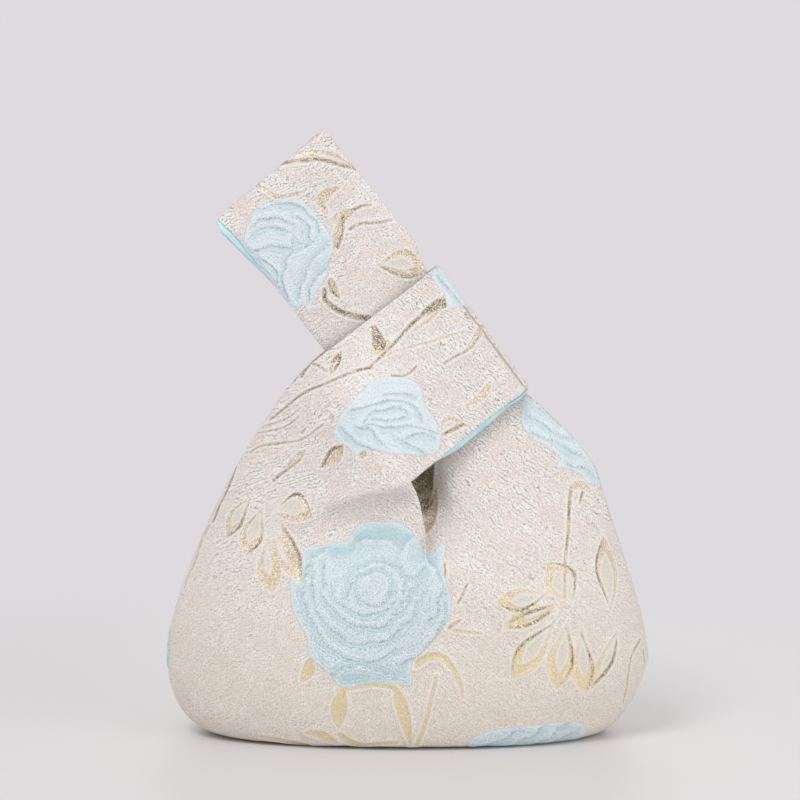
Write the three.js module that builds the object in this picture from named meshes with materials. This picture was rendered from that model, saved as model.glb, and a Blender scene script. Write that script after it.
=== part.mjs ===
// Knot bag, also called a wrist bag: two brocade panels and two satin linings, sewn together.
// Each panel is cut in one piece with half of a short handle and half of a long handle, like a vest.
// The panels are joined down the sides, under the base and across the top of each handle.
// The long handle is drawn through the loop of the short one, which closes the mouth of the bag.
// The bag stands on the table, +Z up, its front towards -Y, the short handle coming from -X.
import * as THREE from "three";

// Cloth, millimetres
const BROCADE = 1.4; // thickness of the outer cloth with its backing
const SATIN = 0.8; // thickness of the lining with its seam allowance
const PLY_GAP = 0.3; // between the outer cloth and the lining
const SEAM_GAP = 0.3; // between the front and back pieces along a seam
const LINING_PROUD = 3; // how far the lining rolls out past the neckline edge

// Body
const BODY_WIDTH = 273; // across the side seams where the bag is widest
const BODY_DEPTH = 118; // front to back where the bag is fullest
const FULL_HEIGHT = 42; // height of that section above the table
const BASE_WIDTH = 216; // flat underside, side to side
const BASE_DEPTH = 94; // flat underside, front to back
const BASE_SEAM = 190; // length of the seam under the base
const LEFT_CORNER = 1; // roundness of the bottom corner below the short handle, 0 is a straight slant
const RIGHT_CORNER = 0.6; // the same below the long handle, where the bag is slacker
const SHOULDER_X = 106.5; // top of the side seam on the long handle's side
const SHOULDER_HEIGHT = 148;
const SEAM_SHARE = 0.66; // share of the wall's rows that the side seams close
const SHORT_GAPE = 2; // extra opening of the short handle's armhole
const LONG_GAPE = 4; // extra opening of the long handle's armhole

// Knot, where the middle lines of the two handles cross
const KNOT_X = 12.4;
const KNOT_HEIGHT = 207.8;
const NOTCH_DEPTH = 44; // how far the bottom of the neckline stands in front of the middle
const NOTCH_BACK = 44.7; // from the knot back to the neckline's bottom, along the short handle

// Handles
const SHORT_WIDTH = 83;
const SHORT_LEAN = 37; // degrees above the horizontal, rising to the right
const SHORT_CROWN = 9; // outward bow of the short handle between its edges
const SHORT_FLARE = 5; // how much further it stands out at its neckline edge, over the shoulder
const LONG_WIDTH = 75;
const LONG_PINCH = 6; // how much narrower it is inside the short handle
const PINCH_EASE = 25; // length over which it widens again as it comes out
const LONG_FLARE = 2.5; // how much its neckline edge spreads where it comes out
const LONG_LEAN = 129.5; // degrees, rising to the left
const LONG_REACH = 139.5; // from the knot to the top of the long handle
const LONG_NECK_HALF = 6; // half the thickness of the folded long handle at its neckline edge
const LONG_ARM_HALF = 5; // the same at its armhole edge
const LONG_CROWN = 2; // outward bow of the long handle between its edges
const LONG_ENTRY = 0.36; // share of its rows by which its neckline edge has settled in the band
const PASS_GAP = 1.8; // free space between the two handles where one goes through the other

// Folds in the cloth
const CREASE_DEPTH = 17; // how far the cloth beside the neckline's bottom tucks in
const CREASE_SHARE = 0.12; // where that tuck is deepest, as a share of the way to the side
const CREASE_FOOT = 0.4; // share of the wall's rows at which the tuck starts
const CREASE_LOW_LEAN = 10; // degrees that the middle line leans to the right at the fullest section
const CREASE_TOP_LEAN = 28; // degrees that it leans to the left at the notch
const CREASE_FALL = 18; // degrees that it falls back at the notch
const RIDGE_DEPTH = 10; // how far the cloth falls back under the short handle
const RIDGE_SHARE = 0.16; // where it falls back most, as a share of the wall's rows
const RIDGE_SLOPE = 0.97; // how fast that line drops to the left, in rows for the way to the side
const RIDGE_FULL = 0.25; // share of the way to the side where it is deepest
const RIDGE_END = 0.5; // share where it has died away
const SHORT_ROUND = 0.3; // roundness of the cloth where the short handle starts
const LONG_ROUND = -0.4; // the same for the long handle, hollow because it is drawn in

// Steps of the cloth's grid
const ACROSS = 9; // from a side to the middle
const BASE_ROWS = 2;
const CORNER_ROWS = 4;
const WALL_ROWS = 12;
const SHORT_ROWS = 6;
const LONG_ROWS = 12;
const FOLD_ROWS = 4;
const CROWDING = 1.35; // power that draws the columns together beside the crease
const MITRE_LIMIT = 0.6; // least cosine used to keep the thickness at a sharp fold

// What follows from the sizes above
const WALL = BROCADE + PLY_GAP + SATIN;
const SEAM_Y = -SEAM_GAP / 2;
const LONG_HALF = (LONG_NECK_HALF + LONG_ARM_HALF) / 2 + LONG_CROWN;
const SHORT_HALF = LONG_HALF + PASS_GAP + WALL;
const SHORT_NECK_HALF = SHORT_HALF + SHORT_FLARE;
const SHORT_REACH = LONG_WIDTH / 2 - LONG_PINCH + WALL + PASS_GAP + LONG_CROWN;

const { degToRad, lerp, smoothstep } = THREE.MathUtils;
const point = (x, y, z) => new THREE.Vector3(x, y, z);
const steps = (count) => Array.from({ length: count }, (_, i) => (i + 1) / count);

// A pulse that starts at 0, is 1 at share `peak` and dies away after it.
function pulse(share, peak) {
  return share <= 0 ? 0 : (share / peak) * Math.exp(1 - share / peak);
}

// A handle as a flat band through the knot, with functions for points on its two edges.
function band(leanDegrees, width, armholeTurn) {
  const lean = degToRad(leanDegrees);
  const along = point(Math.cos(lean), 0, Math.sin(lean));
  const outward = point(-Math.sin(lean), 0, Math.cos(lean)).multiplyScalar(armholeTurn);
  const knot = point(KNOT_X, 0, KNOT_HEIGHT);
  const at = (distance, aside, y) =>
    knot.clone().addScaledVector(along, distance).addScaledVector(outward, aside).setY(y);
  return {
    along,
    armhole: (distance, y, inset = 0) => at(distance, width / 2 - inset, y),
    neckline: (distance, y, flare = 0) => at(distance, -width / 2 - flare, y),
  };
}

const shortHandle = band(SHORT_LEAN, SHORT_WIDTH, 1);
const longHandle = band(LONG_LEAN, LONG_WIDTH, -1);
const notch = shortHandle.neckline(-NOTCH_BACK, -NOTCH_DEPTH);
const longStart = notch.clone().sub(point(KNOT_X, 0, KNOT_HEIGHT)).dot(longHandle.along);

// A smooth line that leaves `from` along `leave` and reaches `to` along `arrive`.
// Its handles are this share of the distance: loose lines swing wider than tight ones.
const LOOSE = 0.38;
const FIRM = 0.3;
const TIGHT = 0.23;

function sweep(from, leave, to, arrive, pull) {
  const reach = from.distanceTo(to) * pull;
  const first = from.clone().addScaledVector(leave, reach);
  const second = to.clone().addScaledVector(arrive, -reach);
  return new THREE.CubicBezierCurve3(from, first, second, to);
}

const up = point(0, 0, 1);
const fullLeft = point(-BODY_WIDTH / 2, SEAM_Y, FULL_HEIGHT);
const fullRight = point(BODY_WIDTH / 2, SEAM_Y, FULL_HEIGHT);
const fullFront = point(0, -BODY_DEPTH / 2, FULL_HEIGHT);
const shoulder = point(SHOULDER_X, SEAM_Y, SHOULDER_HEIGHT);
const shoulderLean = shoulder.clone().sub(fullRight).normalize();
const shortEdgeStart = shortHandle.armhole(-NOTCH_BACK, SEAM_Y);
const longEdgeStart = longHandle.armhole(longStart, SEAM_Y, LONG_PINCH);
const slope = (degrees) => Math.tan(degToRad(degrees));
const creaseFoot = point(slope(CREASE_LOW_LEAN), 0, 1).normalize();
const creaseTop = point(-slope(CREASE_TOP_LEAN), slope(CREASE_FALL), 1).normalize();
const seamStart = shoulderLean.clone().lerp(up, 0.7).normalize();
const armholeStart = shoulderLean.clone().lerp(longHandle.along, 0.35).normalize();

// The edges of the panel's wall, from the fullest section up to the row that ends at the notch.
const leftEdge = sweep(fullLeft, up, shortEdgeStart, shortHandle.along, TIGHT);
const middle = sweep(fullFront, creaseFoot, notch, creaseTop, LOOSE);
const rightSeam = sweep(fullRight, seamStart, shoulder, shoulderLean, FIRM);
const rightArmhole = sweep(shoulder, armholeStart, longEdgeStart, longHandle.along, FIRM);

// The depth of an armhole's edge: closed at the seam's end, `half` at the knot, with a gape between.
function armholeDepth(share, half, gape) {
  const open = Math.max(0, (share - SEAM_SHARE) / (1 - SEAM_SHARE));
  const yawn = gape * Math.sin(Math.PI * open) * 2 * (1 - open);
  return SEAM_Y - (half + SEAM_Y) * smoothstep(open, 0, 0.85) - yawn;
}

function wallRow(share) {
  const left = leftEdge.getPoint(share).setY(armholeDepth(share, SHORT_HALF, SHORT_GAPE));
  const onSeam = share / SEAM_SHARE;
  const inArmhole = (share - SEAM_SHARE) / (1 - SEAM_SHARE);
  const right = onSeam < 1 ? rightSeam.getPoint(onSeam) : rightArmhole.getPoint(inArmhole);
  right.setY(armholeDepth(share, LONG_ARM_HALF, LONG_GAPE));
  const slack = smoothstep(share, 0.2, 1);
  return { left, middle: middle.getPoint(share), right, slack, share };
}

// Rows of the flat base and of the rounded corner above it.
function baseRow(share) {
  const halfWidth = lerp(BASE_SEAM, BASE_WIDTH, share) / 2;
  const front = lerp(SEAM_Y, -BASE_DEPTH / 2, share);
  return {
    left: point(-halfWidth, SEAM_Y, 0),
    middle: point(0, front, 0),
    right: point(halfWidth, SEAM_Y, 0),
    slack: 0,
    share: 0,
  };
}

function cornerRow(share) {
  const angle = (share * Math.PI) / 2;
  const slant = 1 - Math.cos(angle);
  const halfWidth = (corner) => lerp(BASE_WIDTH, BODY_WIDTH, lerp(slant, Math.sin(angle), corner)) / 2;
  const front = -lerp(BASE_DEPTH, BODY_DEPTH, Math.sin(angle)) / 2;
  const height = FULL_HEIGHT * slant;
  return {
    left: point(-halfWidth(LEFT_CORNER), SEAM_Y, height),
    middle: point(0, front, height),
    right: point(halfWidth(RIGHT_CORNER), SEAM_Y, height),
    slack: 0,
    share: 0,
  };
}

// A point on the line across the cloth, at a share of the way from its outer to its inner edge.
// Roundness 1 is a quarter of an ellipse, 0 is straight, below 0 is hollow; the crown bows it outwards.
function acrossCloth(outer, inner, share, roundness, crown) {
  const turn = (share * Math.PI) / 2;
  const flat = lerp(share, 1 - Math.cos(turn), roundness);
  const deep = lerp(share, Math.sin(turn), roundness);
  const y = lerp(outer.y, inner.y, deep) - crown * Math.sin(Math.PI * share);
  return outer.clone().lerp(inner, flat).setY(y);
}

// Under the short handle the cloth falls back; `aside` is the share of the way from the middle.
function ridgeFall(share, aside) {
  const rise = smoothstep(aside, -RIDGE_SHARE, RIDGE_FULL);
  const fade = 1 - smoothstep(aside, RIDGE_FULL, RIDGE_END);
  return RIDGE_DEPTH * pulse(1 - RIDGE_SLOPE * aside - share, RIDGE_SHARE) * rise * fade;
}

function leftOf(row, share) {
  const crown = SHORT_CROWN * smoothstep(row.share, 0.5, 1);
  const p = acrossCloth(row.left, row.middle, share, lerp(1, SHORT_ROUND, row.slack), crown);
  p.y += ridgeFall(row.share, 1 - share);
  return p;
}

// To the right of the notch the cloth tucks in behind the short handle.
function rightOf(row, aside) {
  const p = acrossCloth(row.right, row.middle, 1 - aside, lerp(1, LONG_ROUND, row.slack), 0);
  const tuck = CREASE_DEPTH * smoothstep(row.share, CREASE_FOOT, 1);
  p.y += tuck * pulse(aside, CREASE_SHARE) + ridgeFall(row.share, 0) * Math.exp(-aside / CREASE_SHARE);
  return p;
}

// The front half of the short handle, from the notch to the fold at its end.
const shortFold = SHORT_REACH - SHORT_HALF;

function shortRow(share) {
  const distance = lerp(-NOTCH_BACK, shortFold, share);
  const depth = lerp(NOTCH_DEPTH, SHORT_NECK_HALF, smoothstep(share, -0.25, 1.05));
  return {
    outer: shortHandle.armhole(distance, -SHORT_HALF),
    inner: shortHandle.neckline(distance, -depth),
    crown: SHORT_CROWN * (1 - share),
    roundness: SHORT_ROUND * (1 - share),
  };
}

function shortFoldRow(share) {
  const angle = (share * Math.PI) / 2;
  const distance = shortFold + SHORT_HALF * Math.sin(angle);
  const flatten = Math.cos(angle);
  return {
    outer: shortHandle.armhole(distance, Math.min(SEAM_Y, -SHORT_HALF * flatten)),
    inner: shortHandle.neckline(distance, Math.min(SEAM_Y, -SHORT_NECK_HALF * flatten)),
    crown: 0,
    roundness: 0,
  };
}

// The front half of the long handle, from the notch through the short one to the fold at its top.
const longFold = LONG_REACH - LONG_HALF;
const longEntry = lerp(longStart, longFold, LONG_ENTRY);
const settled = longHandle.neckline(longEntry, -LONG_NECK_HALF, LONG_FLARE);
const inwards = point(-0.2, 0.9, 0.3).normalize();
const longNeck = sweep(notch, inwards, settled, longHandle.along, LOOSE);

function longRow(share) {
  const distance = lerp(longStart, longFold, share);
  const entering = share / LONG_ENTRY;
  const free = smoothstep(distance, SHORT_WIDTH / 2 - WALL, SHORT_WIDTH / 2 - WALL + PINCH_EASE);
  const flare = LONG_FLARE * (1 - smoothstep(distance, longEntry, longFold));
  const neck = longHandle.neckline(distance, -LONG_NECK_HALF, flare);
  return {
    outer: longHandle.armhole(distance, -LONG_ARM_HALF, LONG_PINCH * (1 - free)),
    inner: entering < 1 ? longNeck.getPoint(entering) : neck,
    crown: LONG_CROWN * smoothstep(entering, 0, 1),
    roundness: LONG_ROUND * (1 - smoothstep(entering, 0, 0.6)),
    tuck: CREASE_DEPTH * (1 - smoothstep(entering, 0, 0.7)),
  };
}

function longFoldRow(share) {
  const angle = (share * Math.PI) / 2;
  const distance = longFold + LONG_HALF * Math.sin(angle);
  const flatten = Math.cos(angle);
  return {
    outer: longHandle.armhole(distance, Math.min(SEAM_Y, -LONG_ARM_HALF * flatten)),
    inner: longHandle.neckline(distance, Math.min(SEAM_Y, -LONG_NECK_HALF * flatten)),
    crown: LONG_CROWN * flatten,
    roundness: 0,
    tuck: 0,
  };
}

const handlePoint = (row, share) => acrossCloth(row.outer, row.inner, share, row.roundness, row.crown);

function longPoint(row, aside) {
  const p = handlePoint(row, 1 - aside);
  p.y += row.tuck * pulse(aside, CREASE_SHARE);
  return p;
}

// The outer face of the front panel: one grid of cloth with a slit above the notch.
// The lining is trimmed back around the notch, so it leaves out the cells of the keyhole.
function panelFace() {
  const points = [];
  const triangles = [];
  const keyhole = [];
  const neckline = new Map(); // neckline vertex to the vertex beside it
  const shares = [0, ...steps(ACROSS)];
  const asides = shares.map((share) => share ** CROWDING);
  const add = (p) => points.push(p) - 1;
  const stitchLeft = (lower, upper, atNotch) => {
    for (let i = 0; i < ACROSS; i++) {
      const list = atNotch && i === ACROSS - 1 ? keyhole : triangles;
      list.push([lower[i], lower[i + 1], upper[i + 1]], [lower[i], upper[i + 1], upper[i]]);
    }
  };
  const stitchRight = (lower, upper, atNotch) => {
    for (let i = 0; i < ACROSS; i++) {
      const list = atNotch && i === 0 ? keyhole : triangles;
      list.push([lower[i], lower[i + 1], upper[i]], [lower[i + 1], upper[i + 1], upper[i]]);
    }
  };

  const bodyRows = [
    baseRow(0),
    ...steps(BASE_ROWS).map(baseRow),
    ...steps(CORNER_ROWS).map(cornerRow),
    ...steps(WALL_ROWS).map(wallRow),
  ];
  let left = null;
  let right = null;
  for (const row of bodyRows) {
    const nextLeft = shares.map((share) => add(leftOf(row, share)));
    const nextRight = asides.map((aside, i) => (i === 0 ? nextLeft[ACROSS] : add(rightOf(row, aside))));
    if (left) {
      stitchLeft(left, nextLeft, row.share === 1);
      stitchRight(right, nextRight, row.share === 1);
    }
    left = nextLeft;
    right = nextRight;
  }
  const shortRows = [...steps(SHORT_ROWS).map(shortRow), ...steps(FOLD_ROWS).map(shortFoldRow)];
  shortRows.forEach((row, i) => {
    const next = shares.map((share) => add(handlePoint(row, share)));
    if (i > 0) neckline.set(next[ACROSS], next[ACROSS - 1]);
    stitchLeft(left, next, i === 0);
    left = next;
  });
  const longRows = [...steps(LONG_ROWS).map(longRow), ...steps(FOLD_ROWS).map(longFoldRow)];
  longRows.forEach((row, i) => {
    const next = asides.map((aside) => add(longPoint(row, aside)));
    if (i > 0) neckline.set(next[0], next[1]);
    stitchRight(right, next, i === 0);
    right = next;
  });
  return { points, triangles, keyhole, neckline };
}

// The way out of the cloth at each vertex of a face, longer at a sharp fold to keep the thickness even.
function wayOut(points, triangles) {
  const geometry = new THREE.BufferGeometry().setFromPoints(points).setIndex(triangles.flat());
  geometry.computeVertexNormals();
  const normals = points.map((_, i) => point(0, 0, 0).fromBufferAttribute(geometry.attributes.normal, i));
  const least = points.map(() => 1);
  const flat = new THREE.Triangle();
  const normal = point(0, 0, 0);
  for (const corners of triangles) {
    flat.set(...corners.map((i) => points[i])).getNormal(normal);
    for (const i of corners) {
      least[i] = Math.min(least[i], normals[i].dot(normal));
    }
  }
  return normals.map((n, i) => n.multiplyScalar(1 / Math.max(least[i], MITRE_LIMIT)));
}

// A closed sheet of cloth between two depths under the panel's outer face.
// The lining leaves the keyhole open and rolls out past the neckline.
function sheet(face, outerDepth, innerDepth, isLining) {
  const whole = [...face.triangles, ...face.keyhole];
  const outwards = wayOut(face.points, whole);
  const layer = (depth) =>
    face.points.map((p, i) => {
      const q = p.clone().addScaledVector(outwards[i], -depth);
      if (isLining && face.neckline.has(i)) {
        const beside = face.points[face.neckline.get(i)];
        q.addScaledVector(p.clone().sub(beside).normalize(), LINING_PROUD);
      }
      return q.setY(Math.min(q.y, SEAM_Y));
    });
  const count = face.points.length;
  const indices = [];
  const edges = new Map();
  for (const [a, b, c] of isLining ? face.triangles : whole) {
    indices.push(a, b, c, count + a, count + c, count + b);
    for (const [from, to] of [[a, b], [b, c], [c, a]]) {
      if (!edges.delete(`${to},${from}`)) edges.set(`${from},${to}`, [from, to]);
    }
  }
  for (const [from, to] of edges.values()) {
    indices.push(from, count + from, count + to, from, count + to, to);
  }
  const geometry = new THREE.BufferGeometry();
  geometry.setFromPoints([...layer(outerDepth), ...layer(innerDepth)]);
  geometry.setIndex(indices);
  geometry.computeVertexNormals();
  return geometry;
}

// Materials
const brocade = () => new THREE.MeshStandardMaterial({ color: 0xe3d9cd, roughness: 0.75, metalness: 0.05 });
const satin = () => new THREE.MeshStandardMaterial({ color: 0x9fe3ee, roughness: 0.4, metalness: 0 });

// The front half; the back half is cut from the same pattern, the other way round.
const face = panelFace();
const panelCloth = sheet(face, 0, BROCADE, false);
const liningCloth = sheet(face, BROCADE + PLY_GAP, WALL, true);

function half(side) {
  const panel = new THREE.Mesh(panelCloth, brocade());
  panel.name = `${side}_panel`;
  const lining = new THREE.Mesh(liningCloth, satin());
  lining.name = `${side}_lining`;
  return new THREE.Group().add(panel, lining);
}

const frontHalf = half("front");
const backHalf = half("back");
backHalf.scale.y = -1;
const knotBag = new THREE.Group().add(frontHalf, backHalf);

export default knotBag;
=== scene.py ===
import math

import bmesh
import bpy
import numpy as np
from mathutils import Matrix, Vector, kdtree, noise


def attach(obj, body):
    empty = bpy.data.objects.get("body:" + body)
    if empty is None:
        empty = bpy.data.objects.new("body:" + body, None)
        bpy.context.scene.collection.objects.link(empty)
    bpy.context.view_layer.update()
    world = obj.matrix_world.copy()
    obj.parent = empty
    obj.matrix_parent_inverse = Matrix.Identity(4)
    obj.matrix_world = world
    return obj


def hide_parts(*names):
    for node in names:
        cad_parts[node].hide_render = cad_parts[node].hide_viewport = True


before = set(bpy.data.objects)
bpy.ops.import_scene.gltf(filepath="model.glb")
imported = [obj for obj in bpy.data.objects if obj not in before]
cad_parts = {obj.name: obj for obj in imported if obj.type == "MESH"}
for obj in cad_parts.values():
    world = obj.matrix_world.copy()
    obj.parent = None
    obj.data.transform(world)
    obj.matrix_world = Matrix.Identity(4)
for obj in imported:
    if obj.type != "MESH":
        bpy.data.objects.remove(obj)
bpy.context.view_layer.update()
scene = bpy.context.scene
scene.view_settings.view_transform = "Standard"

# Outer cloth: two panels of brocade, front and back, each cut in one with half of both handles like a vest.
# They are sewn together down the sides, under the base and across the handles, edges turned in.
# The long handle goes through the loop of the short one. Sizes are in millimetres, as in the part's source.
MM = 0.001
BROCADE = 1.4  # thickness of the outer cloth with its backing
SATIN = 0.8  # thickness of the lining
PLY_GAP = 0.3  # between the two
SEAM_Y = -0.15  # where the front half ends along the seams

BODY_WIDTH = 273  # across the side seams where the bag is widest
BODY_DEPTH = 118  # front to back where it is fullest
FULL_HEIGHT = 42  # height of that section above the table
BASE_WIDTH = 216  # flat underside, side to side
BASE_DEPTH = 94  # flat underside, front to back
BASE_SEAM = 190  # length of the seam under the base
LEFT_CORNER = 1  # roundness of the bottom corner below the short handle, 0 is a straight slant
RIGHT_CORNER = 0.6  # the same below the long handle, where the bag is slacker
SHOULDER = (106.5, SEAM_Y, 148)  # top of the side seam on the long handle's side
SEAM_UPRIGHT = 0.7  # how far that seam stands up straight where it starts
SEAM_SHARE = 0.66  # share of the wall that the side seams close
ARMHOLE_TURN = 0.35  # how far the armhole starts out along the long handle
ARMHOLE_FULL = 0.85  # share of an armhole by which it has its full depth
SHORT_GAPE = 2  # extra opening of the short handle's armhole
LONG_GAPE = 4  # extra opening of the long handle's armhole
SLACK_FROM = 0.2  # share of the wall above which its round section goes slack

KNOT = (12.4, 0, 207.8)  # where the middle lines of the two handles cross
NOTCH_DEPTH = 44  # how far the bottom of the neckline stands in front of the middle
NOTCH_BACK = 44.7  # from the knot back to it, along the short handle
NOTCH_TURN = (-0.2, 0.9, 0.3)  # the way in which the neckline turns in from there

SHORT_WIDTH = 83
SHORT_LEAN = 37  # degrees above the horizontal, rising to the right
SHORT_CROWN = 9  # outward bow between its edges
CROWN_FROM = 0.5  # share of the wall at which that bow starts
SHORT_FLARE = 5  # how much further it stands out at its neckline edge
SHORT_ROUND = 0.3  # roundness of the cloth where it starts
SHORT_SETTLE = (-0.25, 1.05)  # shares of its length over which its neckline edge comes to lie flat
SHORT_START = 1 / 6  # share of its length in which that edge leaves the notch

LONG_WIDTH = 75
LONG_PINCH = 6  # how much narrower it is inside the short handle
PINCH_EASE = 25  # length over which it widens again as it comes out
LONG_FLARE = 2.5  # how much its neckline edge spreads where it comes out
LONG_LEAN = 129.5  # degrees, rising to the left
LONG_REACH = 139.5  # from the knot to its top
LONG_NECK_HALF = 6  # half the thickness of the folded handle at its neckline edge
LONG_ARM_HALF = 5  # the same at its armhole edge
LONG_CROWN = 2  # outward bow between its edges
LONG_ENTRY = 0.36  # share of its length by which its neckline edge has settled in the loop
LONG_ROUND = -0.4  # roundness of the cloth where it starts, hollow because it is drawn in
HOLLOW_END = 0.6  # share of the way into the loop by which that hollow is gone
PASS_GAP = 1.8  # free space between the handles where one goes through the other

CREASE_DEPTH = 17  # how far the cloth beside the notch tucks in
CREASE_SHARE = 0.12  # where that tuck is deepest, as a share of the way to the side
CREASE_FOOT = 0.4  # share of the wall at which it starts
CREASE_END = 0.7  # share of the way into the loop by which it is gone
CREASE_LOW_LEAN = 10  # degrees that the middle line leans to the right where the bag is fullest
CREASE_TOP_LEAN = 28  # degrees that it leans to the left at the notch
CREASE_FALL = 18  # degrees that it falls back there
CROWDING = 1.35  # power that draws the cloth's steps together beside the crease
RIDGE_DEPTH = 12  # how far the cloth falls back under the short handle
RIDGE_SHARE = 0.13  # where it falls back most, as a share of the wall
RIDGE_SLOPE = 0.97  # how fast that line drops to the left
RIDGE_FULL = 0.25  # share of the way to the side where it is deepest
RIDGE_END = 0.5  # share where it has died away

FRONT_POCKET = 34  # depth of the fold that tucks in beside the notch, in front
BACK_POCKET = 14  # the same behind, where it is slack
POCKET_FOOT = 0.5  # share of the wall at which it starts
POCKET_END = 0.55  # share of the way into the loop by which it is gone
POCKET_TURN = 0.4  # how far it turns under its left edge, as a share of its depth
POCKET_TUCK = 0.021  # share of the way to the side where it turns under most
POCKET_LIP = 0.03  # share by which it is deep
POCKET_FLOOR = 0.02  # share from which its right wall comes back
POCKET_WALL = 0.27  # share where that wall has come back

WALL = BROCADE + PLY_GAP + SATIN
LONG_HALF = (LONG_NECK_HALF + LONG_ARM_HALF) / 2 + LONG_CROWN
SHORT_HALF = LONG_HALF + PASS_GAP + WALL
SHORT_NECK_HALF = SHORT_HALF + SHORT_FLARE
SHORT_REACH = LONG_WIDTH / 2 - LONG_PINCH + WALL + PASS_GAP + LONG_CROWN
LOOSE, FIRM, TIGHT = 0.38, 0.3, 0.23  # how wide a line of the cloth swings, as a share of its length


def ease(x, low, high):
    """0 up to low, 1 from high on, and smooth between."""
    t = np.clip((np.asarray(x, float) - low) / (high - low), 0, 1)
    return t * t * (3 - 2 * t)


def mix(a, b, t):
    return a + (b - a) * t


def pulse(share, peak):
    """Starts at 0, is 1 at the peak and dies away after it."""
    share = np.maximum(share, 0)
    return share / peak * np.exp(1 - share / peak)


def rows(*parts):
    """Places as rows of x, y and z."""
    return np.stack(np.broadcast_arrays(*parts), axis=-1).astype(float)


def unit(v):
    v = np.asarray(v, float)
    return v / np.linalg.norm(v)


def sweep(start, leave, end, arrive, pull):
    """A smooth line that leaves its start one way and reaches its end another; a loose one swings wider."""
    start, end = np.asarray(start, float), np.asarray(end, float)
    reach = np.linalg.norm(end - start) * pull
    first, second = start + unit(leave) * reach, end - unit(arrive) * reach

    def at(t):
        t = np.asarray(t, float)[..., None]
        low = (1 - t) ** 3 * start + 3 * (1 - t) ** 2 * t * first
        return low + 3 * (1 - t) * t * t * second + t**3 * end

    return at


def band(lean, turn):
    """A handle as a flat band through the knot: the way it runs, and a function for places on it."""
    lean = math.radians(lean)
    along = np.array((math.cos(lean), 0, math.sin(lean)))
    outward = turn * np.array((-math.sin(lean), 0, math.cos(lean)))

    def edge(distance, aside, y):
        p = np.asarray(KNOT) + np.asarray(distance, float)[..., None] * along
        p = p + np.asarray(aside, float)[..., None] * outward
        p[..., 1] = y
        return p

    return along, edge


def slope(degrees):
    return math.tan(math.radians(degrees))


short_along, short_edge = band(SHORT_LEAN, 1)
long_along, long_edge = band(LONG_LEAN, -1)
notch = short_edge(-NOTCH_BACK, -SHORT_WIDTH / 2, -NOTCH_DEPTH)
long_start = float(np.dot(notch - np.asarray(KNOT), long_along))
short_fold, long_fold = SHORT_REACH - SHORT_HALF, LONG_REACH - LONG_HALF
long_entry = mix(long_start, long_fold, LONG_ENTRY)

# The edges of a panel's wall, from the fullest section up to the row that ends at the notch.
up = np.array((0.0, 0, 1))
full_left, full_right = (-BODY_WIDTH / 2, SEAM_Y, FULL_HEIGHT), (BODY_WIDTH / 2, SEAM_Y, FULL_HEIGHT)
shoulder_lean = unit(np.subtract(SHOULDER, full_right))
short_edge_start = short_edge(-NOTCH_BACK, SHORT_WIDTH / 2, SEAM_Y)
long_edge_start = long_edge(long_start, LONG_WIDTH / 2 - LONG_PINCH, SEAM_Y)
left_edge = sweep(full_left, up, short_edge_start, short_along, TIGHT)
middle_line = sweep(
    (0, -BODY_DEPTH / 2, FULL_HEIGHT),
    (slope(CREASE_LOW_LEAN), 0, 1),
    notch,
    (-slope(CREASE_TOP_LEAN), slope(CREASE_FALL), 1),
    LOOSE,
)
right_seam = sweep(full_right, mix(shoulder_lean, up, SEAM_UPRIGHT), SHOULDER, shoulder_lean, FIRM)
armhole_start = mix(shoulder_lean, long_along, ARMHOLE_TURN)
right_armhole = sweep(SHOULDER, armhole_start, long_edge_start, long_along, FIRM)
settled = long_edge(long_entry, -LONG_WIDTH / 2 - LONG_FLARE, -LONG_NECK_HALF)
long_neck = sweep(notch, NOTCH_TURN, settled, long_along, LOOSE)


def armhole_depth(share, half, gape):
    """How deep an armhole's edge lies: closed at the seam's end, half at the knot, with a gape between."""
    way = np.maximum(0, (share - SEAM_SHARE) / (1 - SEAM_SHARE))
    yawn = gape * np.sin(np.pi * way) * 2 * (1 - way)
    return SEAM_Y - (half + SEAM_Y) * ease(way, 0, ARMHOLE_FULL) - yawn


def across_cloth(outer, inner, share, roundness, crown):
    """A place on the cloth between two edges; roundness 1 is a quarter of an ellipse, 0 is straight."""
    turn = share * np.pi / 2
    flat = mix(share, 1 - np.cos(turn), roundness)
    deep = mix(share, np.sin(turn), roundness)
    p = mix(outer, inner, flat[..., None])
    p[..., 1] = mix(outer[..., 1], inner[..., 1], deep) - crown * np.sin(np.pi * share)
    return p


def ridge_fall(share, aside):
    """How far the cloth falls back under the short handle."""
    rise = ease(aside, -RIDGE_SHARE, RIDGE_FULL)
    fade = 1 - ease(aside, RIDGE_FULL, RIDGE_END)
    return RIDGE_DEPTH * pulse(1 - RIDGE_SLOPE * aside - share, RIDGE_SHARE) * rise * fade


def pocket(aside, depth):
    """The deep fold that tucks in beside the notch, turned a little under its left edge."""
    fall = np.clip((POCKET_WALL - aside) / (POCKET_WALL - POCKET_FLOOR), 0, 1)
    deep = ease(aside, 0, POCKET_LIP) * fall**2
    return rows(-POCKET_TURN * depth * pulse(aside, POCKET_TUCK), depth * deep, 0)


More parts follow.
